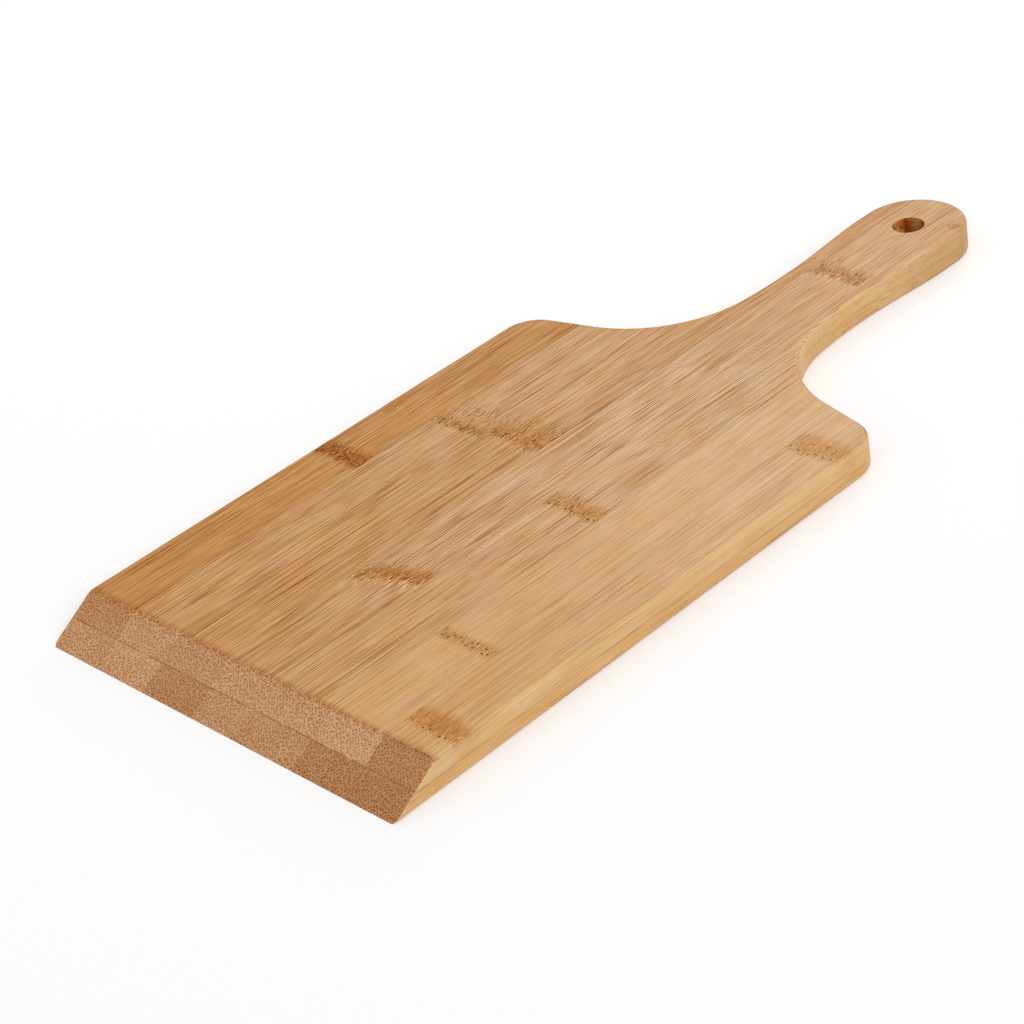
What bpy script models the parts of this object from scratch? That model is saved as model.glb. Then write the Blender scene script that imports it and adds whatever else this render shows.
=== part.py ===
"""A bamboo spaetzle board: two plies of bamboo strips, glued edge to edge and face to face.

The board lies flat with its working face up. +Y runs from the bevelled front edge to the
handle's tip, +X to the right, +Z up. The origin is the middle of the underside.
"""

import math

import bmesh
import bpy
from mathutils import Matrix, Vector

# Overall sizes, in metres
BODY_WIDTH = 0.140
BODY_LENGTH = 0.192
HANDLE_LENGTH = 0.123
BOARD_THICKNESS = 0.010

# Bamboo strips: the middle one of each ply lies a little to the right of the centre line
STRIP_WIDTH = 0.0203
STRIP_OFFSET = 0.00085
GLUE_LINE = 0.0001

# Front edge: a slope over the whole thickness, off which the dough is scraped
BEVEL_RUN = 0.017

# Shoulders, from the sides of the body into the neck
SHOULDER_RADIUS = 0.0115
SHOULDER_RISE = 0.0132
NECK_WIDTH = 0.0368
NECK_RADIUS = 0.040

# Handle, with its places measured back from the tip
WAIST_WIDTH = 0.0282
WAIST_FROM_TIP = 0.0645
WAIST_RADIUS = 0.187
GRIP_END_WIDTH = 0.0346
SWELL_FROM_TIP = 0.028
SWELL_RADIUS = 0.100
HOLE_DIAMETER = 0.0100
HOLE_FROM_TIP = 0.0189

# Rounding of the edges
EDGE_RADIUS = 0.0014
EDGE_SEGMENTS = 4
HOLE_EASING = 0.0003
CHORD_ERROR = 0.00004

# How far blanks and cutters reach past the surfaces that they make
TRIM = 0.010

# Tones of the bamboo, as display colours from 0 to 1
TONES = {
    "honey": (0.74, 0.54, 0.34),
    "tan": (0.77, 0.58, 0.39),
    "rose": (0.78, 0.60, 0.43),
    "straw": (0.81, 0.65, 0.47),
    "russet": (0.71, 0.52, 0.37),
    "umber": (0.66, 0.47, 0.33),
}
TOP_TONES = ("honey", "tan", "tan", "rose", "rose", "straw", "straw")
BOTTOM_TONES = ("tan", "tan", "umber", "tan", "russet", "umber", "umber")
BAMBOO_ROUGHNESS = 0.55

BOARD_LENGTH = BODY_LENGTH + HANDLE_LENGTH
FRONT_Y = -BOARD_LENGTH / 2
TIP_Y = BOARD_LENGTH / 2
SHOULDER_Y = FRONT_Y + BODY_LENGTH
NECK_Y = SHOULDER_Y + SHOULDER_RISE


def clear_scene():
    for obj in list(bpy.data.objects):
        bpy.data.objects.remove(obj, do_unlink=True)


def new_collection(name):
    collection = bpy.data.collections.new(name)
    bpy.context.scene.collection.children.link(collection)
    return collection


def linear(value):
    """The linear value of one channel of a display colour."""
    if value <= 0.04045:
        return value / 12.92
    return ((value + 0.055) / 1.055) ** 2.4


def bamboo(strip_name, tone):
    """The oiled bamboo of one strip."""
    material = bpy.data.materials.new("bamboo_" + strip_name)
    material.use_nodes = True
    shader = material.node_tree.nodes["Principled BSDF"]
    shader.inputs["Base Color"].default_value = (*map(linear, TONES[tone]), 1.0)
    shader.inputs["Roughness"].default_value = BAMBOO_ROUGHNESS
    shader.inputs["Metallic"].default_value = 0.0
    return material


def box_mesh(name, size):
    """A box of the given size about its own centre."""
    shape = bmesh.new()
    bmesh.ops.create_cube(shape, size=1.0)
    bmesh.ops.scale(shape, vec=size, verts=shape.verts)
    mesh = bpy.data.meshes.new(name)
    shape.to_mesh(mesh)
    shape.free()
    return mesh


def hide_cutter(obj):
    obj.hide_render = True
    obj.display_type = "WIRE"


def fillet_reaches(places, radii):
    """How far each corner's fillet reaches along its runs.

    Where two fillets would overlap on the run between them, each takes its share of it.
    """
    wanted = [0.0] * len(places)
    for i, radius in enumerate(radii):
        if radius is not None:
            back = places[i - 1] - places[i]
            ahead = places[i + 1] - places[i]
            wanted[i] = radius / math.tan(back.angle(ahead) / 2)
    reaches = list(wanted)
    for i, (start, end) in enumerate(zip(places, places[1:])):
        both = wanted[i] + wanted[i + 1]
        share = min(1.0, (end - start).length / both)
        reaches[i] = min(reaches[i], wanted[i] * share)
        reaches[i + 1] = min(reaches[i + 1], wanted[i + 1] * share)
    return reaches


def corner_arc(before, corner, after, reach):
    """Points of the arc that rounds one corner of an outline, tangent to both its runs."""
    back = before - corner
    ahead = after - corner
    half_angle = back.angle(ahead) / 2
    radius = reach * math.tan(half_angle)
    bisector = (back.normalized() + ahead.normalized()).normalized()
    centre = corner + bisector * radius / math.sin(half_angle)
    start = corner + back.normalized() * reach - centre
    end = corner + ahead.normalized() * reach - centre
    turn = math.atan2(start.cross(end), start.dot(end))
    step = 2 * math.acos(1 - CHORD_ERROR / radius)
    count = max(2, math.ceil(abs(turn) / step))
    return [centre + Matrix.Rotation(turn * i / count, 2) @ start for i in range(count + 1)]


def right_half_outline():
    """The plan outline's right half, from the front corner to the top of the handle's round end."""
    end_radius = GRIP_END_WIDTH / 2
    corners = [
        (Vector((BODY_WIDTH / 2, FRONT_Y - TRIM)), None),
        (Vector((BODY_WIDTH / 2, SHOULDER_Y)), SHOULDER_RADIUS),
        (Vector((NECK_WIDTH / 2, NECK_Y)), NECK_RADIUS),
        (Vector((WAIST_WIDTH / 2, TIP_Y - WAIST_FROM_TIP)), WAIST_RADIUS),
        (Vector((end_radius, TIP_Y - SWELL_FROM_TIP)), SWELL_RADIUS),
        (Vector((end_radius, TIP_Y)), end_radius),
        (Vector((0, TIP_Y)), None),
    ]
    places = [place for place, _ in corners]
    reaches = fillet_reaches(places, [radius for _, radius in corners])
    points = [places[0]]
    for before, corner, after, reach in zip(places, places[1:], places[2:], reaches[1:]):
        points += corner_arc(before, corner, after, reach)
    return points


def board_outline():
    """The whole plan outline, counter-clockwise from the front right corner."""
    right = right_half_outline()
    left = [Vector((-point.x, point.y)) for point in reversed(right[:-1])]
    return right + left


def make_bevel_cutter(cutters):
    """The block above the front slope, whose lower face is that slope."""
    angle = math.atan2(BOARD_THICKNESS, BEVEL_RUN)
    slope_length = math.hypot(BOARD_THICKNESS, BEVEL_RUN)
    height = BOARD_THICKNESS + 2 * TRIM
    size = (BODY_WIDTH + 2 * TRIM, slope_length + 3 * TRIM, height)
    cutter = bpy.data.objects.new("bevel_cutter", box_mesh("bevel_cutter", size))
    along = Vector((0, math.cos(angle), math.sin(angle)))
    away = Vector((0, -math.sin(angle), math.cos(angle)))
    front = Vector((0, FRONT_Y, 0))
    cutter.location = front + along * slope_length / 2 + away * height / 2
    cutter.rotation_euler = (angle, 0, 0)
    cutters.objects.link(cutter)
    hide_cutter(cutter)
    return cutter


def make_hole_drill(cutters):
    """A turned drill whose cones ease the hole's rims on both faces."""
    radius = HOLE_DIAMETER / 2
    flare = radius + HOLE_EASING + TRIM
    profile = [
        (0, BOARD_THICKNESS + TRIM),
        (flare, BOARD_THICKNESS + TRIM),
        (radius, BOARD_THICKNESS - HOLE_EASING),
        (radius, HOLE_EASING),
        (flare, -TRIM),
        (0, -TRIM),
    ]
    shape = bmesh.new()
    rings = [shape.verts.new((x, 0, z)) for x, z in profile]
    for upper, lower in zip(rings, rings[1:]):
        shape.edges.new((upper, lower))
    mesh = bpy.data.meshes.new("hole_drill")
    shape.to_mesh(mesh)
    shape.free()
    drill = bpy.data.objects.new("hole_drill", mesh)
    drill.location = (0, TIP_Y - HOLE_FROM_TIP, 0)
    turned = drill.modifiers.new("turned", "SCREW")
    turned.steps = 36
    turned.render_steps = turned.steps
    turned.use_merge_vertices = True
    turned.merge_threshold = 0.00001
    cutters.objects.link(drill)
    hide_cutter(drill)
    return drill


def make_finished_shape(cutters):
    """The board's outer shape once it is routed, eased, bevelled and drilled."""
    curve = bpy.data.curves.new("board_outline", "CURVE")
    curve.dimensions = "2D"
    curve.fill_mode = "BOTH"
    curve.extrude = BOARD_THICKNESS / 2 - EDGE_RADIUS
    curve.bevel_depth = EDGE_RADIUS
    curve.bevel_resolution = EDGE_SEGMENTS - 1
    curve.offset = -EDGE_RADIUS
    outline = board_outline()
    spline = curve.splines.new("POLY")
    spline.points.add(len(outline) - 1)
    for point, place in zip(spline.points, outline):
        point.co = (place.x, place.y, 0, 1)
    spline.use_cyclic_u = True
    guide = bpy.data.objects.new("board_outline", curve)
    guide.location = (0, 0, BOARD_THICKNESS / 2)
    cutters.objects.link(guide)
    bpy.context.view_layer.update()

    graph = bpy.context.evaluated_depsgraph_get()
    mesh = bpy.data.meshes.new_from_object(guide.evaluated_get(graph))
    shape = bmesh.new()
    shape.from_mesh(mesh)
    bmesh.ops.remove_doubles(shape, verts=shape.verts, dist=0.000001)
    bmesh.ops.recalc_face_normals(shape, faces=shape.faces)
    shape.to_mesh(mesh)
    shape.free()
    finished = bpy.data.objects.new("finished_shape", mesh)
    finished.matrix_world = guide.matrix_world
    bpy.data.objects.remove(guide)
    cutters.objects.link(finished)
    hide_cutter(finished)

    for tool in (make_bevel_cutter(cutters), make_hole_drill(cutters)):
        cut = finished.modifiers.new(tool.name, "BOOLEAN")
        cut.operation = "DIFFERENCE"
        cut.solver = "EXACT"
        cut.object = tool
    return finished


def strip_edges():
    """The left and right side of each strip in a ply. The outer strips reach past the body."""
    half_count = max(0, round((BODY_WIDTH / STRIP_WIDTH - 1) / 2))
    seams = [
        STRIP_OFFSET + (i - half_count - 0.5) * STRIP_WIDTH
        for i in range(1, 2 * half_count + 1)
    ]
    lefts = [-BODY_WIDTH / 2 - TRIM] + [seam + GLUE_LINE / 2 for seam in seams]
    rights = [seam - GLUE_LINE / 2 for seam in seams] + [BODY_WIDTH / 2 + TRIM]
    return list(zip(lefts, rights))


def make_strip(name, sides, heights, tone, finished, parts, frame):
    """One bamboo strip: a sawn lath, cut to the part of the board's shape that it fills."""
    left, right = sides
    low, high = heights
    size = (right - left, BOARD_LENGTH + 2 * TRIM, high - low)
    strip = bpy.data.objects.new(name, box_mesh(name, size))
    strip.location = ((left + right) / 2, 0, (low + high) / 2)
    strip.parent = frame
    parts.objects.link(strip)
    strip.data.materials.append(bamboo(name, tone))
    cut = strip.modifiers.new("routed_with_the_board", "BOOLEAN")
    cut.operation = "INTERSECT"
    cut.solver = "EXACT"
    cut.object = finished
    return strip


def tone_of(tones, index):
    return tones[index % len(tones)]


def build():
    clear_scene()
    parts = new_collection("spaetzle_board")
    cutters = new_collection("cutters")
    frame = bpy.data.objects.new("board_frame", None)
    parts.objects.link(frame)
    finished = make_finished_shape(cutters)
    middle = BOARD_THICKNESS / 2
    bottom_heights = (-TRIM, middle - GLUE_LINE / 2)
    top_heights = (middle + GLUE_LINE / 2, BOARD_THICKNESS + TRIM)
    for i, sides in enumerate(strip_edges()):
        number = str(i + 1)
        top_tone = tone_of(TOP_TONES, i)
        bottom_tone = tone_of(BOTTOM_TONES, i)
        make_strip("top_strip_" + number, sides, top_heights, top_tone, finished, parts, frame)
        make_strip(
            "bottom_strip_" + number, sides, bottom_heights, bottom_tone, finished, parts, frame
        )


build()
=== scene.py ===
"""A bamboo spaetzle board: two plies of seven strips each, glued, routed to shape and oiled."""
import math

import bmesh
import bpy
from mathutils import Matrix, Vector


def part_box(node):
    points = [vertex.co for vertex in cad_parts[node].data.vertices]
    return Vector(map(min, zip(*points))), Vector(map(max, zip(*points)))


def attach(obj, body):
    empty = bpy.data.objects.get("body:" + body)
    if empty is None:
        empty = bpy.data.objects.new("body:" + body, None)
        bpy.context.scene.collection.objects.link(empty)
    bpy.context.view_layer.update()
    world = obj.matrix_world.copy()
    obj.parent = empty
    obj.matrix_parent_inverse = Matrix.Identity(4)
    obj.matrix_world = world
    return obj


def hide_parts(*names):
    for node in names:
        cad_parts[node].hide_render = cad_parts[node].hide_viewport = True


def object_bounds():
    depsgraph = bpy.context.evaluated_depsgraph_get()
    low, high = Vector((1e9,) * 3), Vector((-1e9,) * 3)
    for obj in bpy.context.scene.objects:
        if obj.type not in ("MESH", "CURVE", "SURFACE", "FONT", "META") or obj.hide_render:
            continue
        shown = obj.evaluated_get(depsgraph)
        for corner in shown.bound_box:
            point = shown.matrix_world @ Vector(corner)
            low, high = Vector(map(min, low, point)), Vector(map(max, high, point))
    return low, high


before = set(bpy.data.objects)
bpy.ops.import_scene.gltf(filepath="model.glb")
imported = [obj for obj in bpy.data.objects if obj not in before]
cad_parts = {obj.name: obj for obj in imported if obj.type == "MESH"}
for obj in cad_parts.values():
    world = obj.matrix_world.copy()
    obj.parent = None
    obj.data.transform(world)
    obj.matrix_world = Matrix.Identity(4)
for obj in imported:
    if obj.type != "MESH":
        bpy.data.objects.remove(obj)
CAD_LOW, CAD_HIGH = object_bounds()

# The top ply: seven bamboo strips, glued edge to edge. Both plies are glued up first and then
# routed to the outline, rounded along their edges, planed to a slope at the front and drilled,
# so each strip is sawn here from one blank that has the whole board's shape.
FRONT_Y = CAD_LOW.y
TIP_Y = CAD_HIGH.y
HALF_WIDTH = CAD_HIGH.x
THICKNESS = CAD_HIGH.z
SHOULDER_Y = FRONT_Y + 0.192
SHOULDER_RADIUS = 0.0115
NECK_Y = SHOULDER_Y + 0.0132
NECK_HALF_WIDTH = 0.0184
NECK_RADIUS = 0.040
WAIST_Y = TIP_Y - 0.0645
WAIST_HALF_WIDTH = 0.0141
WAIST_RADIUS = 0.187
SWELL_Y = TIP_Y - 0.028
SWELL_RADIUS = 0.100
GRIP_HALF_WIDTH = 0.0173
EDGE_RADIUS = 0.0014
EDGE_SEGMENTS = 8
BEVEL_RUN = 0.017
SLOPE_EASING = 0.0005
SLOPE_EASING_SEGMENTS = 4
HOLE_CENTRE = Vector((0, TIP_Y - 0.0189, 0))
HOLE_RADIUS = 0.0050
HOLE_EASING = 0.0003
HOLE_EASING_SEGMENTS = 4
HOLE_SEGMENTS = 64
ARC_ERROR = 0.00001
SPARE = 0.010


def arc_steps(radius, turn):
    """How many straight steps keep an arc within the chord error."""
    return max(2, math.ceil(abs(turn) / (2 * math.acos(1 - ARC_ERROR / radius))))


def round_corner(shape, last, corner, after, radius):
    """Carry an outline from its last point straight to a corner's arc, and then round that arc."""
    back = (last.co - corner).normalized()
    ahead = (after - corner).normalized()
    half_angle = back.angle(ahead) / 2
    reach = radius / math.tan(half_angle)
    centre = corner + (back + ahead).normalized() * radius / math.sin(half_angle)
    start = corner + back * reach
    if (start - last.co).length > ARC_ERROR:
        point = shape.verts.new(start)
        shape.edges.new((last, point))
        last = point
    side = 1 if back.cross(ahead).z < 0 else -1
    turn = side * (math.pi - 2 * half_angle)
    arc = bmesh.ops.spin(
        shape, geom=[last], cent=centre, axis=(0, 0, 1), dvec=(0, 0, 0), angle=turn,
        steps=arc_steps(radius, turn), use_merge=False, use_duplicate=False,
    )
    return arc["geom_last"][0]


def trace_outline(shape):
    """The plan outline: its right half from the middle of the front round to the tip, mirrored."""
    corners = [
        (Vector((HALF_WIDTH, SHOULDER_Y, 0)), SHOULDER_RADIUS),
        (Vector((NECK_HALF_WIDTH, NECK_Y, 0)), NECK_RADIUS),
        (Vector((WAIST_HALF_WIDTH, WAIST_Y, 0)), WAIST_RADIUS),
        (Vector((GRIP_HALF_WIDTH, SWELL_Y, 0)), SWELL_RADIUS),
        (Vector((GRIP_HALF_WIDTH, TIP_Y, 0)), GRIP_HALF_WIDTH),
    ]
    ends = [corner for corner, _ in corners[1:]] + [Vector((0, TIP_Y, 0))]
    middle = shape.verts.new((0, FRONT_Y - SPARE, 0))
    last = shape.verts.new((HALF_WIDTH, FRONT_Y - SPARE, 0))
    shape.edges.new((middle, last))
    for (corner, radius), after in zip(corners, ends):
        last = round_corner(shape, last, corner, after, radius)
    bmesh.ops.mirror(
        shape, geom=shape.verts[:] + shape.edges[:], matrix=Matrix.Identity(4), merge_dist=ARC_ERROR,
        axis="X",
    )


def cut_off(shape, point, normal):
    """Saw away what lies on the normal's side of a plane, and close the sawn face."""
    geom = shape.verts[:] + shape.edges[:] + shape.faces[:]
    sawn = bmesh.ops.bisect_plane(
        shape, geom=geom, dist=ARC_ERROR / 10, plane_co=point, plane_no=normal, clear_outer=True
    )
    rim = [part for part in sawn["geom_cut"] if isinstance(part, bmesh.types.BMEdge)]
    return bmesh.ops.contextual_create(shape, geom=rim)["faces"]


def route_blank():
    """The whole board's outer shape, before the hole."""
    shape = bmesh.new()
    trace_outline(shape)
    underside = bmesh.ops.contextual_create(shape, geom=shape.edges[:])["faces"]
    raised = bmesh.ops.extrude_face_region(shape, geom=underside)["geom"]
    corners = [part for part in raised if isinstance(part, bmesh.types.BMVert)]
    bmesh.ops.translate(shape, vec=(0, 0, THICKNESS), verts=corners)
    bmesh.ops.recalc_face_normals(shape, faces=shape.faces)
    rims = [edge for edge in shape.edges if abs(edge.verts[0].co.z - edge.verts[1].co.z) < ARC_ERROR]
    bmesh.ops.bevel(
        shape, geom=rims, offset=EDGE_RADIUS, offset_type="OFFSET", segments=EDGE_SEGMENTS,
        profile=0.5, affect="EDGES", material=-1,
    )
    up_the_slope = Vector((0, BEVEL_RUN, THICKNESS)).normalized()
    slope_normal = Vector((0, -up_the_slope.z, up_the_slope.y))
    slope = cut_off(shape, Vector((0, FRONT_Y, 0)), slope_normal)
    bmesh.ops.bevel(
        shape, geom=slope[0].edges[:], offset=SLOPE_EASING, offset_type="OFFSET",
        segments=SLOPE_EASING_SEGMENTS, profile=0.5, affect="EDGES", material=-1,
    )
    bmesh.ops.recalc_face_normals(shape, faces=shape.faces)
    return shape


def ring(shape, height):
    """One turn of the drilled hole's wall."""
    place = Matrix.Translation(HOLE_CENTRE + Vector((0, 0, height)))
    circle = bmesh.ops.create_circle(
        shape, cap_ends=False, radius=HOLE_RADIUS, segments=HOLE_SEGMENTS, matrix=place
    )
    return list({edge for vert in circle["verts"] for edge in vert.link_edges})


def drill_hole(shape, low, high, eased):
    """Drill the hanging hole through one strip, and ease its rim where that is at the surface."""
    reach = 1.5 * HOLE_RADIUS
    for direction in (Vector((1, 0, 0)), Vector((-1, 0, 0)), Vector((0, 1, 0)), Vector((0, -1, 0))):
        geom = shape.verts[:] + shape.edges[:] + shape.faces[:]
        bmesh.ops.bisect_plane(
            shape, geom=geom, dist=ARC_ERROR / 10, plane_co=HOLE_CENTRE + direction * reach,
            plane_no=direction,
        )
    rings = {}
    for height in (low, high):
        patch = [
            face for face in shape.faces
            if abs(face.normal.z) > 0.99
            and abs(face.calc_center_median().z - height) < ARC_ERROR
            and (face.calc_center_median().xy - HOLE_CENTRE.xy).length < reach / 2
        ]
        border = patch[0].edges[:]
        bmesh.ops.delete(shape, geom=patch, context="FACES_ONLY")
        rings[height] = ring(shape, height)
        bmesh.ops.triangle_fill(
            shape, use_beauty=True, use_dissolve=False, edges=border + rings[height], normal=(0, 0, 1)
        )
    bmesh.ops.bridge_loops(shape, edges=rings[low] + rings[high])
    bmesh.ops.recalc_face_normals(shape, faces=shape.faces)
    bmesh.ops.bevel(
        shape, geom=rings[eased], offset=HOLE_EASING, offset_type="OFFSET",
        segments=HOLE_EASING_SEGMENTS, profile=0.5, affect="EDGES", material=-1,
    )


# In metres, how much of the glue stays on a sawn strip and how deep its grain is felt. Where a
# face turns by more than SHARP_TURN, the strip has an edge.
HALF_GLUE = 0.00005
RELIEF = 0.00005
SHARP_TURN = math.radians(28)

# The grain, in millimetres: how far apart the fibre bundles lie in a row, the height of two rows,
# the spacing of the fine lines that they leave on a planed face, and how far they rise in each
# millimetre of length. In a knot, specks and pits lie in rows of their own pitch. SHEEN is the
# faint gloss of the oil.
BUNDLE_PITCH = 1.16
TWO_ROWS = 0.73
LINE_PITCH = 0.80
BUNDLE_LEAN = 0.008
SPECK_PITCH = 0.95
SPECK_LENGTH = 1.5
PIT_PITCH = 2.9
SHEEN = 0.12

# The colours of the bamboo on its faces and where it is cut across. The paler face colour, towards
# the handle, holds a painted sheen, and the drilled hole's paler end colour holds painted light.
# A knot's stain, tint and painted shine, and the names from PITH_PALE on, are factors by which a
# colour is lowered or raised.
FACE_AMBER = (0.847, 0.648, 0.415)
FACE_STRAW_AND_SHEEN = (0.924, 0.814, 0.700)
END_BROWN = (0.706, 0.508, 0.340)
END_STRAW = (0.832, 0.657, 0.502)
BUNDLE_ON_FACE = (0.36, 0.18, 0.05)
BUNDLE_ON_END = (0.30, 0.13, 0.04)
KNOT_STAIN = (0.56, 0.34, 0.10)
KNOT_TINT = (0.90, 0.73, 0.43)
# A knot's shine is a painted highlight on the curled fibres at its front.
KNOT_PAINTED_SHINE = (1.28, 1.42, 1.45)
PIT_BROWN = (0.32, 0.16, 0.05)
DRILLED_SIDE = (0.84, 0.60, 0.33)
DRILLED_BROWN = (0.62, 0.28, 0.07)
DRILLED_END_PAINTED_LIGHT = (1.00, 0.79, 0.46)
GLUE_BROWN = (0.42, 0.23, 0.10)
PITH_PALE = (1.20, 1.25, 1.33)
HAIR_DARK = (0.75, 0.58, 0.37)
THREAD_DARK = (0.53, 0.32, 0.12)
RIM_DARK = (0.83, 0.62, 0.40)
HANDLED_DARK = (0.94, 0.88, 0.81)
WORN_PALE = (1.07, 1.09, 1.12)
TIP_SIDES_DARK = (0.84, 0.81, 0.77)
TORN_DARK = (0.62, 0.50, 0.34)


def linear(colour):
    """A display colour as linear light."""
    channels = [
        value / 12.92 if value <= 0.04045 else ((value + 0.055) / 1.055) ** 2.4 for value in colour
    ]
    return (*channels, 1.0)


def feed(tree, socket, value):
    """Give a socket another node's output or a fixed value."""
    if isinstance(value, bpy.types.NodeSocket):
        tree.links.new(value, socket)
    else:
        socket.default_value = value


def calc(tree, operation, *values):
    """One step of arithmetic."""
    node = tree.nodes.new("ShaderNodeMath")
    node.operation = operation
    for socket, value in zip(node.inputs, values):
        feed(tree, socket, value)
    return node.outputs[0]


def times(tree, *values):
    """Several values multiplied."""
    product = values[0]
    for value in values[1:]:
        product = calc(tree, "MULTIPLY", product, value)
    return product


def step(tree, value, low, high, to_low=0.0, to_high=1.0):
    """A smooth step from one level to another while a value goes from low to high."""
    node = tree.nodes.new("ShaderNodeMapRange")
    node.interpolation_type = "SMOOTHSTEP"
    for socket, given in zip(node.inputs, (value, low, high, to_low, to_high)):
        feed(tree, socket, given)
    return node.outputs["Result"]


def blend(tree, factor, first, second, how="MIX"):
    """Two colours mixed."""
    node = tree.nodes.new("ShaderNodeMix")
    node.data_type = "RGBA"
    node.blend_type = how
    feed(tree, node.inputs["Factor"], factor)
    feed(tree, node.inputs["A"], first)
    feed(tree, node.inputs["B"], second)
    return node.outputs["Result"]


def dye(tree, amount, colour, factors):
    """A colour with each channel lowered or raised by a factor, by the given amount."""
    return blend(tree, amount, colour, (*factors, 1.0), "MULTIPLY")


def vector(tree, x, y, z=0.0):
    """A vector from its three parts."""
    node = tree.nodes.new("ShaderNodeCombineXYZ")
    for socket, value in zip(node.inputs, (x, y, z)):
        feed(tree, socket, value)
    return node.outputs[0]


def cloud(tree, place, grain, seed, detail=1.0):
    """Noise about zero, mostly from -1 to 1, whose features are as long as the grain each way."""
    moved = tree.nodes.new("ShaderNodeMapping")
    moved.inputs["Location"].default_value = (seed * 3.7, seed * 7.1, seed * 5.3)
    moved.inputs["Scale"].default_value = [1.0 / length for length in grain]
    feed(tree, moved.inputs["Vector"], place)
    node = tree.nodes.new("ShaderNodeTexNoise")
    node.inputs["Scale"].default_value = 1.0
    node.inputs["Detail"].default_value = detail
    node.inputs["Roughness"].default_value = 0.55
    tree.links.new(moved.outputs[0], node.inputs["Vector"])
    return calc(tree, "MULTIPLY_ADD", node.outputs["Fac"], 4.0, -2.0)


def scatter(tree, across, along=None, disorder=0.8):
    """Points strewn in a row or over a plane: the distance to the nearest, and its own number."""
    node = tree.nodes.new("ShaderNodeTexVoronoi")
    node.inputs["Scale"].default_value = 1.0
    node.inputs["Randomness"].default_value = disorder
    if along is None:
        node.voronoi_dimensions = "1D"
        feed(tree, node.inputs["W"], across)
    else:
        node.voronoi_dimensions = "2D"
        tree.links.new(vector(tree, across, along), node.inputs["Vector"])
    chance = tree.nodes.new("ShaderNodeSeparateColor")
    tree.links.new(node.outputs["Color"], chance.inputs[0])
    return node.outputs["Distance"], chance.outputs[0]


def knot_row(tree, place, across, along, knot, seed):
    """Where a joint of the culm crosses a strip: how far it upsets, stains and marks the fibres.

    It lies so many millimetres from the front, has a core of some width and, behind that, a wake
    in which the fibres still curl. Its pits are given as rows, counted from its line.
    """
    wobble = cloud(tree, place, (3.5, 30, 9), seed)
    fray = cloud(tree, place, (0.9, 3.0, 2.0), seed + 1, 2.0)
    line = calc(tree, "SUBTRACT", along, knot["at"])
    line = calc(tree, "MULTIPLY_ADD", across, -knot.get("lean", 0.0), line)
    line = calc(tree, "MULTIPLY_ADD", wobble, knot.get("wobble", 0.7), line)
    ragged = calc(tree, "MULTIPLY_ADD", fray, knot.get("fray", 0.8), line)
    width = knot["width"]
    core = times(
        tree, step(tree, ragged, -0.4 * width, 0.1 * width),
        step(tree, ragged, 0.5 * width, 1.15 * width, 1.0, 0.0),
    )
    wake = times(
        tree, step(tree, ragged, -3.0, 1.0),
        step(tree, ragged, 0.5 * knot["wake"], knot["wake"], 1.0, 0.0),
    )
    curls = cloud(tree, place, (0.45, 2.4, 1.2), seed + 2, 2.0)
    stain = times(tree, core, step(tree, curls, -0.35, 0.35), knot.get("stain", 0.0))
    flecks = times(tree, wake, step(tree, curls, 0.0, 0.5), knot.get("flecks", 0.2))
    stain = calc(tree, "MAXIMUM", stain, flecks)
    before = times(
        tree, step(tree, ragged, -1.1 * width, -0.4 * width),
        step(tree, ragged, 0.1 * width, 0.7 * width, 1.0, 0.0),
    )
    # The shine is a painted highlight on the curls at the knot's front, which the relief also raises.
    painted_shine = times(tree, before, step(tree, curls, 0.05, -0.45), knot.get("painted_shine", 0.4))
    tint = times(tree, wake, step(tree, ragged, width, 2.0 * width, 1.0, 0.35), knot.get("tint", 0.0))

    speck_gap, speck_chance = scatter(
        tree, calc(tree, "MULTIPLY_ADD", across, 1 / SPECK_PITCH, seed),
        calc(tree, "MULTIPLY", ragged, 1 / SPECK_LENGTH),
    )
    marks = times(
        tree, step(tree, speck_gap, 0.12, 0.32, 1.0, 0.0), step(tree, speck_chance, 0.3, 0.6), core,
        knot.get("specks", 0.0),
    )
    for column in knot.get("pits", ()):
        gap, chance = scatter(tree, calc(tree, "MULTIPLY_ADD", across, 1 / PIT_PITCH, seed + column))
        gap = times(tree, gap, PIT_PITCH)
        height = calc(tree, "MULTIPLY_ADD", chance, 1.4, calc(tree, "SUBTRACT", line, column + 0.7))
        height = times(tree, height, height, 0.7)
        reach = calc(tree, "SQRT", calc(tree, "MULTIPLY_ADD", gap, gap, height))
        pit = step(tree, reach, 0.20, 0.42, 1.0, 0.0)
        marks = calc(tree, "MAXIMUM", marks, times(tree, pit, step(tree, chance, 0.0, 0.5, 0.5, 1.0)))
    return dict(core=core, wake=wake, stain=stain, painted_shine=painted_shine, tint=tint, marks=marks)


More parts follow.
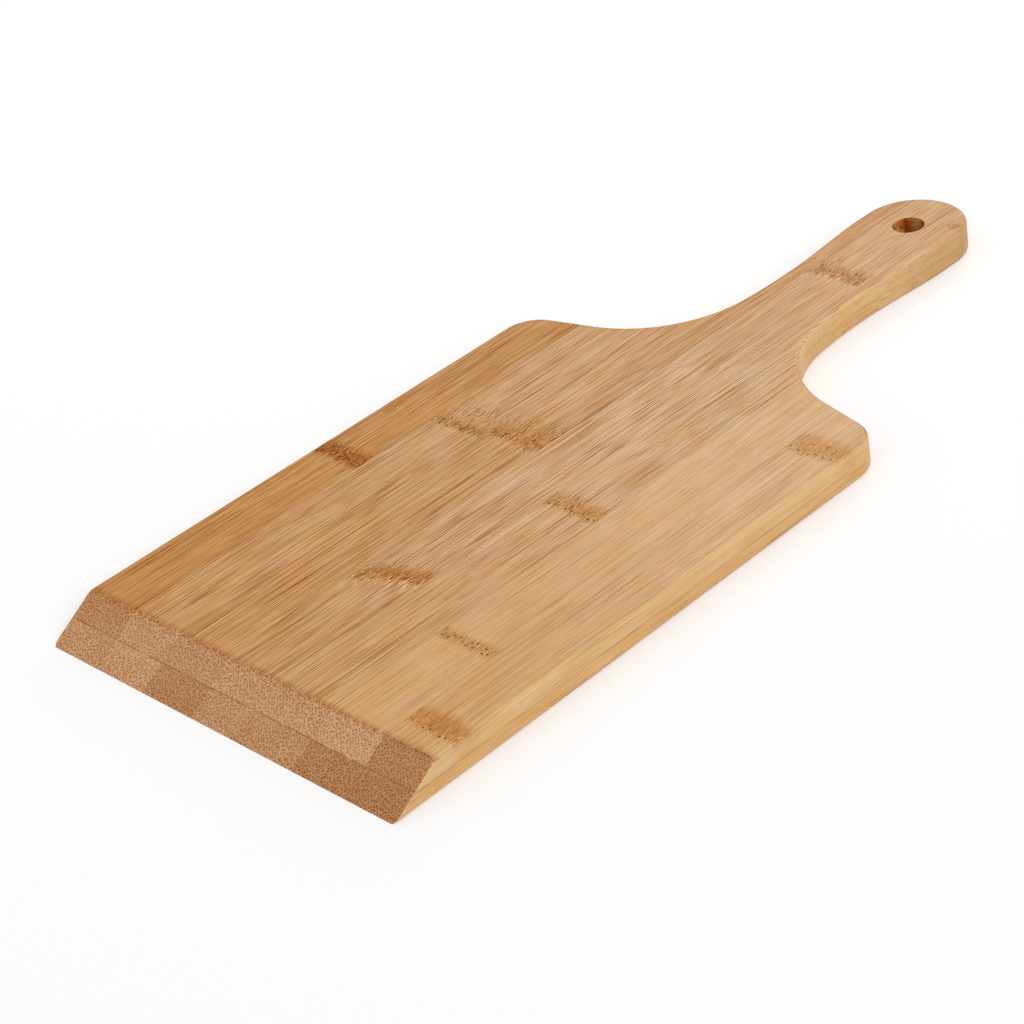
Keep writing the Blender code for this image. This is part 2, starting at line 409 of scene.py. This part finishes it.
def bamboo(node, face, end, edge, streaks, knots, seed):
    """The oiled bamboo of one strip.

    The ground is pale and pithy, with dark bundles of fibre that run along the strip, so they
    show as fine lines on its faces and as dots where it is cut across. The numbers say how pale
    its face is at the front and at the back of the board, the rise towards the back being a
    painted sheen, how pale its cut end is, and how strongly its lines show. The colour edge is
    that of its outer side.
    """
    material = bpy.data.materials.new("bamboo_" + node)
    material.use_nodes = True
    tree = material.node_tree
    shader = tree.nodes["Principled BSDF"]
    shader.inputs["Specular IOR Level"].default_value = SHEEN
    low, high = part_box(node)
    spot = tree.nodes.new("ShaderNodeTexCoord")
    to_millimetres = tree.nodes.new("ShaderNodeMapping")
    to_millimetres.inputs["Location"].default_value = (0, -FRONT_Y * 1000, 0)
    to_millimetres.inputs["Scale"].default_value = (1000, 1000, 1000)
    tree.links.new(spot.outputs["Object"], to_millimetres.inputs["Vector"])
    place = to_millimetres.outputs[0]
    parts = tree.nodes.new("ShaderNodeSeparateXYZ")
    tree.links.new(place, parts.inputs[0])
    across, along, up = parts.outputs
    facing = tree.nodes.new("ShaderNodeSeparateXYZ")
    tree.links.new(spot.outputs["Normal"], facing.inputs[0])
    level, lengthwise, upright = [calc(tree, "ABSOLUTE", part) for part in facing.outputs]
    planed = step(tree, times(tree, lengthwise, upright), 0.14, 0.40)
    cut_across = calc(tree, "MAXIMUM", planed, step(tree, lengthwise, 0.45, 0.95))
    uncut = calc(tree, "SUBTRACT", 1.0, cut_across)
    sideways = times(tree, step(tree, level, 0.35, 0.9), step(tree, lengthwise, 0.5, 0.9, 1.0, 0.0))

    # Where the joints of the culm upset the fibres
    middle = (low.x + high.x) * 500
    from_middle = calc(tree, "SUBTRACT", across, middle)
    upset = dict(core=0.0, wake=0.0, stain=0.0, painted_shine=0.0, tint=0.0, marks=0.0)
    for index, knot in enumerate(knots):
        row = knot_row(tree, place, from_middle, along, knot, seed + 11 * index)
        upset = {key: calc(tree, "MAXIMUM", upset[key], row[key]) for key in upset}
    inside = calc(tree, "MULTIPLY_ADD", sideways, -0.7, 1.0)
    upset = {key: calc(tree, "MULTIPLY", value, inside) for key, value in upset.items()}
    swirl = calc(tree, "MULTIPLY_ADD", upset["core"], 0.9, upset["wake"])

    # The fibre bundles, which lean and wander a little on their way through the strip. They lie
    # in rows, every other one set off by half a pitch, and each is a dot where it is cut across.
    drift = times(tree, cloud(tree, place, (9, 60, 9), seed + 2), 0.15)
    sway = times(tree, cloud(tree, place, (1.2, 40, 3.0), seed + 1), 0.19)
    rise = times(tree, cloud(tree, place, (3.0, 30, 9), seed + 3), 0.14)
    bow = times(tree, cloud(tree, place, (12, 70, 12), seed + 4), 0.35)
    curl = times(tree, cloud(tree, place, (1.8, 4.0, 4), seed + 5), swirl, 0.36)
    dive = times(tree, cloud(tree, place, (0.8, 4.5, 4), seed + 6), swirl, 0.50)
    fibre_x = across
    for part in (drift, sway, curl):
        fibre_x = calc(tree, "ADD", fibre_x, part)
    fibre_z = calc(tree, "MULTIPLY_ADD", along, BUNDLE_LEAN, up)
    for part in (rise, bow, dive):
        fibre_z = calc(tree, "ADD", fibre_z, part)
    fibre = vector(tree, fibre_x, along, fibre_z)
    in_row = calc(tree, "MULTIPLY_ADD", fibre_x, 1 / BUNDLE_PITCH, seed * 31.7)
    in_height = calc(tree, "MULTIPLY", fibre_z, 1 / TWO_ROWS)
    gap, chance = scatter(
        tree, calc(tree, "ADD", in_height, in_row), calc(tree, "SUBTRACT", in_height, in_row), 0.65
    )
    outward = calc(tree, "ABSOLUTE", calc(tree, "SUBTRACT", up, THICKNESS * 500))
    thickness = calc(tree, "MULTIPLY_ADD", outward, 0.010, 0.215)
    dot = step(tree, gap, calc(tree, "SUBTRACT", thickness, 0.13), thickness, 1.0, 0.0)

    # The fine lines are laid side by side across a flat face, and one above the other on the side
    # of the board. Some are stronger than others, and they fade where a face turns to the ends.
    flat = step(tree, upright, 0.5, 0.9)
    abreast = calc(tree, "MULTIPLY_ADD", flat, calc(tree, "SUBTRACT", fibre_x, fibre_z), fibre_z)
    fine_line = calc(tree, "COSINE", times(tree, abreast, 2 * math.pi / LINE_PITCH))
    fine_line = times(
        tree, step(tree, fine_line, 0.1, 0.95), uncut, step(tree, lengthwise, 0.2, 0.5, 1.0, 0.0)
    )
    bundle = calc(tree, "MULTIPLY_ADD", dot, cut_across, fine_line)
    pith = times(
        tree, step(tree, gap, 0.32, 0.56), calc(tree, "MULTIPLY_ADD", cut_across, 0.75, 0.25)
    )
    patches = step(tree, cloud(tree, place, (3.5, 14, 3.5), seed + 7, 2.0), -0.7, 0.7, 0.85, 1.05)
    showing = times(tree, patches, calc(tree, "MULTIPLY_ADD", sideways, -0.5 * streaks, streaks))
    handled = step(tree, along, 190, 225)
    showing = times(tree, showing, calc(tree, "MULTIPLY_ADD", handled, -0.2, 1.0))
    dashes = step(tree, cloud(tree, place, (0.6, 17, 0.7), seed + 13, 2.0), -0.7, 0.6, 0.45, 1.1)
    strength = times(tree, dashes, showing, uncut)
    dot_strength = calc(tree, "MULTIPLY_ADD", chance, 0.35, 0.65)
    strength = calc(tree, "MULTIPLY_ADD", cut_across, dot_strength, strength)
    strength = calc(tree, "MULTIPLY_ADD", swirl, 0.08, strength)

    # The ground between them
    broad = cloud(tree, place, (4.5, 55, 4.5), seed + 7)
    blotch = cloud(tree, place, (5.0, 12, 5.0), seed + 8, 2.0)
    rosy = cloud(tree, place, (4.0, 9, 4.0), seed + 9, 2.0)
    streak = cloud(tree, fibre, (1.1, 45, 1.1), seed + 9, 2.0)
    hair = cloud(tree, fibre, (0.25, 26, 0.26), seed + 10, 1.0)
    thread = cloud(tree, fibre, (0.30, 80, 0.60), seed + 11, 1.0)
    # The rise in paleness towards the handle is a painted sheen; the front value is the strip's tone.
    pale = step(tree, along, 20, 180, *face)
    face_ground = blend(tree, pale, linear(FACE_AMBER), linear(FACE_STRAW_AND_SHEEN))
    face_ground = dye(tree, handled, face_ground, HANDLED_DARK)
    outer = step(tree, across, HALF_WIDTH * 1000 - 5, HALF_WIDTH * 1000 - 0.5, 0.0, 0.6)
    outer = calc(tree, "MAXIMUM", outer, sideways)
    face_ground = blend(tree, outer, face_ground, linear(edge))
    face_ground = dye(tree, step(tree, broad, -1.0, 1.0), face_ground, (0.97, 0.95, 0.92))
    face_ground = dye(tree, step(tree, blotch, -1.0, 1.0), face_ground, (0.98, 0.93, 0.75))
    face_ground = dye(tree, step(tree, rosy, -0.3, 0.8), face_ground, (1.02, 0.955, 0.98))
    streaked = times(tree, step(tree, streak, -0.8, 1.0), showing)
    face_ground = dye(tree, streaked, face_ground, (0.985, 0.970, 0.94))
    face_colour = dye(tree, times(tree, bundle, strength), face_ground, BUNDLE_ON_FACE)
    end_ground = blend(tree, end, linear(END_BROWN), linear(END_STRAW))
    end_ground = dye(tree, step(tree, blotch, -1.0, 1.0), end_ground, (0.94, 0.88, 0.76))
    end_colour = dye(tree, times(tree, bundle, strength), end_ground, BUNDLE_ON_END)
    colour = blend(tree, cut_across, face_colour, end_colour)
    colour = dye(tree, times(tree, step(tree, hair, 0.05, 0.5), showing), colour, HAIR_DARK)
    threads = times(tree, step(tree, thread, 0.45, 0.70), showing, uncut)
    colour = dye(tree, threads, colour, THREAD_DARK)
    colour = dye(tree, pith, colour, PITH_PALE)

    # Knots, the brown rim above the slope, worn edges, glue lines and the drilled hole
    upper = step(tree, upright, 0.4, 0.9)
    marks = times(tree, upset["marks"], upper)
    colour = dye(tree, upset["tint"], colour, KNOT_TINT)
    colour = dye(tree, upset["stain"], colour, KNOT_STAIN)
    # The painted highlight on the knot's curls, on faces that look up.
    colour = dye(tree, times(tree, upset["painted_shine"], upper), colour, KNOT_PAINTED_SHINE)
    colour = blend(tree, times(tree, marks, 0.9), colour, linear(PIT_BROWN))
    rim_wobble = cloud(tree, place, (1.1, 40, 40), seed + 12, 3.0)
    rim_line = calc(tree, "SUBTRACT", along, BEVEL_RUN * 1000)
    rim_line = calc(tree, "MULTIPLY_ADD", rim_wobble, 0.4, rim_line)
    rim = times(tree, step(tree, rim_line, -1.5, -0.2), step(tree, rim_line, 0.1, 1.9, 1.0, 0.0))
    rim = times(tree, rim, step(tree, up, 8.6, 9.4), step(tree, rim_wobble, -0.8, 0.6, 0.2, 0.9))
    colour = dye(tree, rim, colour, RIM_DARK)
    rounded = times(tree, step(tree, upright, 0.1, 0.5), step(tree, upright, 0.85, 0.995, 1.0, 0.0))
    worn = times(tree, rounded, uncut, step(tree, blotch, -0.8, 0.8))
    # Darker on the handle's sides and rounded edges near the tip, and their edges there are not
    # paler.
    tip_sides = times(tree, step(tree, along, 255, 292), step(tree, upright, 0.75, 0.97, 1.0, 0.0))
    worn = times(tree, worn, calc(tree, "SUBTRACT", 1.0, tip_sides))
    colour = dye(tree, worn, colour, WORN_PALE)
    colour = dye(tree, tip_sides, colour, TIP_SIDES_DARK)
    joint = step(tree, outward, 0.0, 0.14, 1.0, 0.0)
    patchy = step(tree, cloud(tree, place, (9, 16, 9), 5, 2.0), -0.9, 0.9, 0.15, 0.85)
    colour = blend(tree, times(tree, joint, patchy), colour, linear(GLUE_BROWN))
    for seam, outside in ((low.x, CAD_LOW.x), (high.x, CAD_HIGH.x)):
        if abs(seam - outside) > ARC_ERROR:
            beside = calc(tree, "ABSOLUTE", calc(tree, "SUBTRACT", across, seam * 1000))
            seam_line = times(tree, step(tree, beside, 0.0, 0.16, 1.0, 0.0), patchy, 0.35)
            colour = blend(tree, seam_line, colour, linear(GLUE_BROWN))
    if low.x < -HOLE_RADIUS and high.x > HOLE_RADIUS:
        from_hole = tree.nodes.new("ShaderNodeVectorMath")
        from_hole.operation = "DISTANCE"
        from_hole.inputs[1].default_value = (0, (HOLE_CENTRE.y - FRONT_Y) * 1000, 0)
        tree.links.new(vector(tree, across, along), from_hole.inputs[0])
        radius = HOLE_RADIUS * 1000
        eased = radius + HOLE_EASING * 1000
        drilled = step(tree, from_hole.outputs["Value"], radius + 0.1, eased, 1.0, 0.0)
        torn = cloud(tree, place, (0.9, 0.9, 1.1), seed + 15, 3.0)
        ragged = calc(tree, "MULTIPLY_ADD", torn, 0.22, lengthwise)
        bored = blend(tree, step(tree, ragged, 0.1, 0.7), linear(DRILLED_SIDE), linear(DRILLED_BROWN))
        # The walls that face front and back, across the grain, are paler: end grain, with painted
        # light from the front in it.
        bored = blend(tree, step(tree, ragged, 0.72, 1.20), bored, linear(DRILLED_END_PAINTED_LIGHT))
        bored = dye(tree, step(tree, torn, -0.3, 0.3), bored, TORN_DARK)
        colour = blend(tree, drilled, colour, bored)
    tree.links.new(colour, shader.inputs["Base Color"])

    rough = calc(tree, "MULTIPLY_ADD", streak, 0.03, 0.50)
    for part, amount in ((cut_across, 0.12), (marks, 0.2), (worn, 0.06)):
        rough = calc(tree, "MULTIPLY_ADD", part, amount, rough)
    tree.links.new(rough, shader.inputs["Roughness"])
    relief = times(tree, hair, -0.4)
    for part, amount in ((bundle, -0.6), (marks, -1.5), (joint, -1.0), (upset["painted_shine"], 1.0)):
        relief = calc(tree, "MULTIPLY_ADD", part, amount, relief)
    bump = tree.nodes.new("ShaderNodeBump")
    bump.inputs["Strength"].default_value = 0.5
    bump.inputs["Distance"].default_value = RELIEF
    tree.links.new(relief, bump.inputs["Height"])
    tree.links.new(bump.outputs[0], shader.inputs["Normal"])
    return material


def saw_strip(node, **finish):
    """One strip of the routed board, between its seams and on its side of the glue joint."""
    low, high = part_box(node)
    shape = blank.copy()
    if low.z > ARC_ERROR:
        cut_off(shape, Vector((0, 0, low.z - HALF_GLUE)), Vector((0, 0, -1)))
        heights = (low.z - HALF_GLUE, THICKNESS, THICKNESS)
    else:
        cut_off(shape, Vector((0, 0, high.z + HALF_GLUE)), Vector((0, 0, 1)))
        heights = (0, high.z + HALF_GLUE, 0)
    if low.x > CAD_LOW.x + ARC_ERROR:
        cut_off(shape, Vector((low.x - HALF_GLUE, 0, 0)), Vector((-1, 0, 0)))
    if high.x < CAD_HIGH.x - ARC_ERROR:
        cut_off(shape, Vector((high.x + HALF_GLUE, 0, 0)), Vector((1, 0, 0)))
    if low.x < -HOLE_RADIUS and high.x > HOLE_RADIUS:
        drill_hole(shape, *heights)
    bmesh.ops.recalc_face_normals(shape, faces=shape.faces)
    mesh = bpy.data.meshes.new("strip_" + node)
    shape.to_mesh(mesh)
    shape.free()
    mesh.shade_smooth()
    mesh.set_sharp_from_angle(angle=SHARP_TURN)
    mesh.materials.append(bamboo(node, **finish))
    piece = bpy.data.objects.new("bamboo_" + node, mesh)
    bpy.context.scene.collection.objects.link(piece)
    weighted = piece.modifiers.new("flat_faces_stay_flat", "WEIGHTED_NORMAL")
    weighted.keep_sharp = True
    weighted.weight = 100
    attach(piece, "root")
    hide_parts(node)


# The upper strips from left to right, with the colour of the board's sides and the handle's
TOP_EDGE = (0.862, 0.726, 0.545)
HANDLE_EDGE = (0.865, 0.725, 0.540)
blank = route_blank()
saw_strip(
    "top_strip_1", face=(0.00, 0.10), end=0.30, edge=TOP_EDGE, streaks=1.0, seed=3,
    knots=[
        dict(
            at=101.2, width=5.5, wake=9, stain=1.0, tint=1.0, specks=0.7, pits=(0.2,), painted_shine=0.2,
            fray=1.6,
        ),
    ],
)
saw_strip(
    "top_strip_2", face=(0.24, 0.50), end=0.66, edge=TOP_EDGE, streaks=1.0, seed=5,
    knots=[
        dict(
            at=132.0, width=3.2, wake=17, stain=0.65, tint=0.35, specks=0.4, flecks=0.15,
            pits=(0.0,), fray=1.2,
        ),
    ],
)
saw_strip(
    "top_strip_3", face=(0.19, 0.44), end=0.52, edge=HANDLE_EDGE, streaks=1.0, seed=7,
    knots=[
        dict(
            at=135.0, width=5.0, wake=17, stain=0.55, tint=0.7, specks=0.5, flecks=0.25,
            wobble=0.4,
        ),
    ],
)
saw_strip(
    "top_strip_4", face=(0.29, 0.76), end=0.68, edge=HANDLE_EDGE, streaks=1.0, seed=9,
    knots=[
        dict(
            at=65.2, lean=0.40, width=6.5, wake=9, stain=0.65, tint=0.6, specks=0.1, painted_shine=1.0,
            wobble=1.4, fray=1.5,
        ),
        dict(
            at=258.0, width=5.5, wake=9, stain=0.6, tint=0.4, specks=0.2, painted_shine=0.7, wobble=1.4,
            fray=1.5,
        ),
    ],
)
saw_strip(
    "top_strip_5", face=(0.30, 0.70), end=0.66, edge=HANDLE_EDGE, streaks=0.85, seed=11,
    knots=[
        dict(at=116.5, width=4.0, wake=8, stain=0.15, tint=0.6, specks=0.8, pits=(0.2,), painted_shine=0.3),
        dict(at=301.0, width=3.5, wake=5, stain=0.45, tint=0.5, specks=0.4, painted_shine=0.1),
    ],
)
saw_strip(
    "top_strip_6", face=(0.28, 0.56), end=0.70, edge=TOP_EDGE, streaks=0.45, seed=13,
    knots=[
        dict(
            at=54.6, width=3.6, wake=5, stain=0.35, tint=0.4, specks=0.6, pits=(0.5, 2.4),
            painted_shine=0.2,
        ),
    ],
)
saw_strip(
    "top_strip_7", face=(0.26, 0.62), end=0.06, edge=TOP_EDGE, streaks=0.55, seed=15,
    knots=[
        dict(at=24.6, width=5.5, wake=9, stain=0.35, tint=0.8, specks=0.3, pits=(-0.4,), painted_shine=0.2),
        dict(at=173.5, width=7.0, wake=11, stain=0.2, tint=0.7, specks=0.1, pits=(0.0,), painted_shine=0.2),
    ],
)

# The bottom ply: seven more strips under the same seams, glued to the top ply face to face.
# Nobody chooses these strips for looks, so their tones differ more and their joints lie anywhere.
BOTTOM_EDGE = (0.875, 0.715, 0.515)
BOTTOM_HANDLE_EDGE = (0.855, 0.710, 0.520)
saw_strip(
    "bottom_strip_1", face=(0.20, 0.30), end=0.56, edge=BOTTOM_EDGE, streaks=0.9, seed=4,
    knots=[dict(at=60.0, width=4.5, wake=9, stain=0.6, tint=0.3, specks=0.5, pits=(0.0,))],
)
saw_strip(
    "bottom_strip_2", face=(0.30, 0.40), end=0.70, edge=BOTTOM_EDGE, streaks=0.8, seed=6,
    knots=[dict(at=158.0, width=4.0, wake=10, stain=0.5, tint=0.3, specks=0.5, pits=(0.0,))],
)
saw_strip(
    "bottom_strip_3", face=(0.10, 0.20), end=0.16, edge=BOTTOM_HANDLE_EDGE, streaks=1.0, seed=8,
    knots=[dict(at=97.0, width=5.0, wake=12, stain=0.7, tint=0.4, specks=0.5)],
)
saw_strip(
    "bottom_strip_4", face=(0.20, 0.40), end=0.46, edge=BOTTOM_HANDLE_EDGE, streaks=0.9, seed=10,
    knots=[
        dict(at=41.0, width=4.5, wake=9, stain=0.5, tint=0.3, specks=0.5, pits=(0.0,)),
        dict(at=236.0, width=4.5, wake=9, stain=0.5, tint=0.3, specks=0.5),
    ],
)
saw_strip(
    "bottom_strip_5", face=(0.20, 0.40), end=0.42, edge=BOTTOM_HANDLE_EDGE, streaks=0.9, seed=12,
    knots=[dict(at=148.0, width=4.5, wake=9, stain=0.6, tint=0.4, specks=0.5, pits=(0.0,))],
)
saw_strip(
    "bottom_strip_6", face=(0.10, 0.30), end=0.05, edge=BOTTOM_EDGE, streaks=0.9, seed=14,
    knots=[dict(at=86.0, width=4.0, wake=8, stain=0.5, tint=0.3, specks=0.7, pits=(0.0, 2.0))],
)
saw_strip(
    "bottom_strip_7", face=(0.10, 0.20), end=0.00, edge=BOTTOM_EDGE, streaks=0.9, seed=16,
    knots=[dict(at=190.0, width=5.0, wake=9, stain=0.5, tint=0.4, specks=0.4, pits=(0.0,))],
)
blank.free()

# The floor: plain white, and it keeps the board's shadow. To the camera it glows a little, so
# that it shows white where nothing shades it. It lies a hair above the board's underside, so that
# the two faces never coincide.
FLOOR_SIZE = 4.0
FLOOR_HEIGHT = 0.00002
FLOOR_GREY = 0.84
FLOOR_ROUGHNESS = 0.9
FLOOR_GLOW = 0.17
sweep = bmesh.new()
lifted = Matrix.Translation((0, 0, FLOOR_HEIGHT))
bmesh.ops.create_grid(sweep, x_segments=1, y_segments=1, size=FLOOR_SIZE, matrix=lifted)
floor_mesh = bpy.data.meshes.new("floor")
sweep.to_mesh(floor_mesh)
sweep.free()
paint = bpy.data.materials.new("white_floor")
paint.use_nodes = True
paint_shader = paint.node_tree.nodes["Principled BSDF"]
paint_shader.inputs["Base Color"].default_value = (FLOOR_GREY, FLOOR_GREY, FLOOR_GREY, 1.0)
paint_shader.inputs["Roughness"].default_value = FLOOR_ROUGHNESS
paint_shader.inputs["Specular IOR Level"].default_value = 0.0
paint_shader.inputs["Emission Color"].default_value = (1.0, 1.0, 1.0, 1.0)
ray = paint.node_tree.nodes.new("ShaderNodeLightPath")
seen = calc(paint.node_tree, "MAXIMUM", ray.outputs["Is Camera Ray"], ray.outputs["Is Glossy Ray"])
seen = calc(paint.node_tree, "MAXIMUM", seen, ray.outputs["Is Transmission Ray"])
glow = calc(paint.node_tree, "MULTIPLY", seen, FLOOR_GLOW)
paint.node_tree.links.new(glow, paint_shader.inputs["Emission Strength"])
floor_mesh.materials.append(paint)
floor = bpy.data.objects.new("floor", floor_mesh)
bpy.context.scene.collection.objects.link(floor)

# The light: a white room, one wide soft lamp from the right, and a large soft panel behind the
# board whose faint gloss grows towards the handle.
ROOM_LEVEL = 0.56
KEY_LEVEL = 1.55
KEY_SPREAD = math.radians(45)
KEY_TILT = (math.radians(10), math.radians(45), 0)
PANEL_RADIANCE = 2.0
PANEL_SIZE = 0.8
PANEL_DISTANCE = 1.4
PANEL_HEADING = math.radians(20)
PANEL_ELEVATION = math.radians(28)
room = bpy.data.worlds.new("white_room")
bpy.context.scene.world = room
room.use_nodes = True
room.node_tree.nodes["Background"].inputs["Color"].default_value = (1, 1, 1, 1)
room.node_tree.nodes["Background"].inputs["Strength"].default_value = ROOM_LEVEL

key_data = bpy.data.lights.new("key", "SUN")
key_data.energy = KEY_LEVEL
key_data.angle = KEY_SPREAD
key = bpy.data.objects.new("key", key_data)
key.rotation_euler = KEY_TILT
bpy.context.scene.collection.objects.link(key)

panel_data = bpy.data.lights.new("panel", "AREA")
panel_data.shape = "SQUARE"
panel_data.size = PANEL_SIZE
panel_data.energy = PANEL_RADIANCE * math.pi * PANEL_SIZE ** 2
panel = bpy.data.objects.new("panel", panel_data)
towards_panel = Vector((
    -math.sin(PANEL_HEADING) * math.cos(PANEL_ELEVATION),
    math.cos(PANEL_HEADING) * math.cos(PANEL_ELEVATION),
    math.sin(PANEL_ELEVATION),
))
panel.rotation_euler = towards_panel.to_track_quat("Z", "Y").to_euler()
panel.location = towards_panel * PANEL_DISTANCE
bpy.context.scene.collection.objects.link(panel)

# The camera, where the photographer's stood: its place and tilt are fitted to the board's outline
# in the photo.
CAMERA_AZIMUTH = math.radians(50.076)
CAMERA_ELEVATION = math.radians(31.893)
CAMERA_ROLL = math.radians(-10.386)
CAMERA_DISTANCE = 0.78765
CAMERA_TARGET = Vector((-0.00515, -0.03965, 0))
CAMERA_LENS = 97.13
SENSOR_WIDTH = 36

camera_data = bpy.data.cameras.new("camera")
camera_data.lens = CAMERA_LENS
camera_data.sensor_width = SENSOR_WIDTH
camera = bpy.data.objects.new("camera", camera_data)
back = Vector((
    math.sin(CAMERA_AZIMUTH) * math.cos(CAMERA_ELEVATION),
    -math.cos(CAMERA_AZIMUTH) * math.cos(CAMERA_ELEVATION),
    math.sin(CAMERA_ELEVATION),
))
level = Vector((math.cos(CAMERA_AZIMUTH), math.sin(CAMERA_AZIMUTH), 0))
upward = back.cross(level)
right = level * math.cos(CAMERA_ROLL) + upward * math.sin(CAMERA_ROLL)
top = upward * math.cos(CAMERA_ROLL) - level * math.sin(CAMERA_ROLL)
turned = Matrix((right, top, back)).transposed().to_4x4()
camera.matrix_world = Matrix.Translation(CAMERA_TARGET + back * CAMERA_DISTANCE) @ turned
bpy.context.scene.collection.objects.link(camera)
bpy.context.scene.camera = camera
bpy.context.scene.view_settings.view_transform = "Standard"
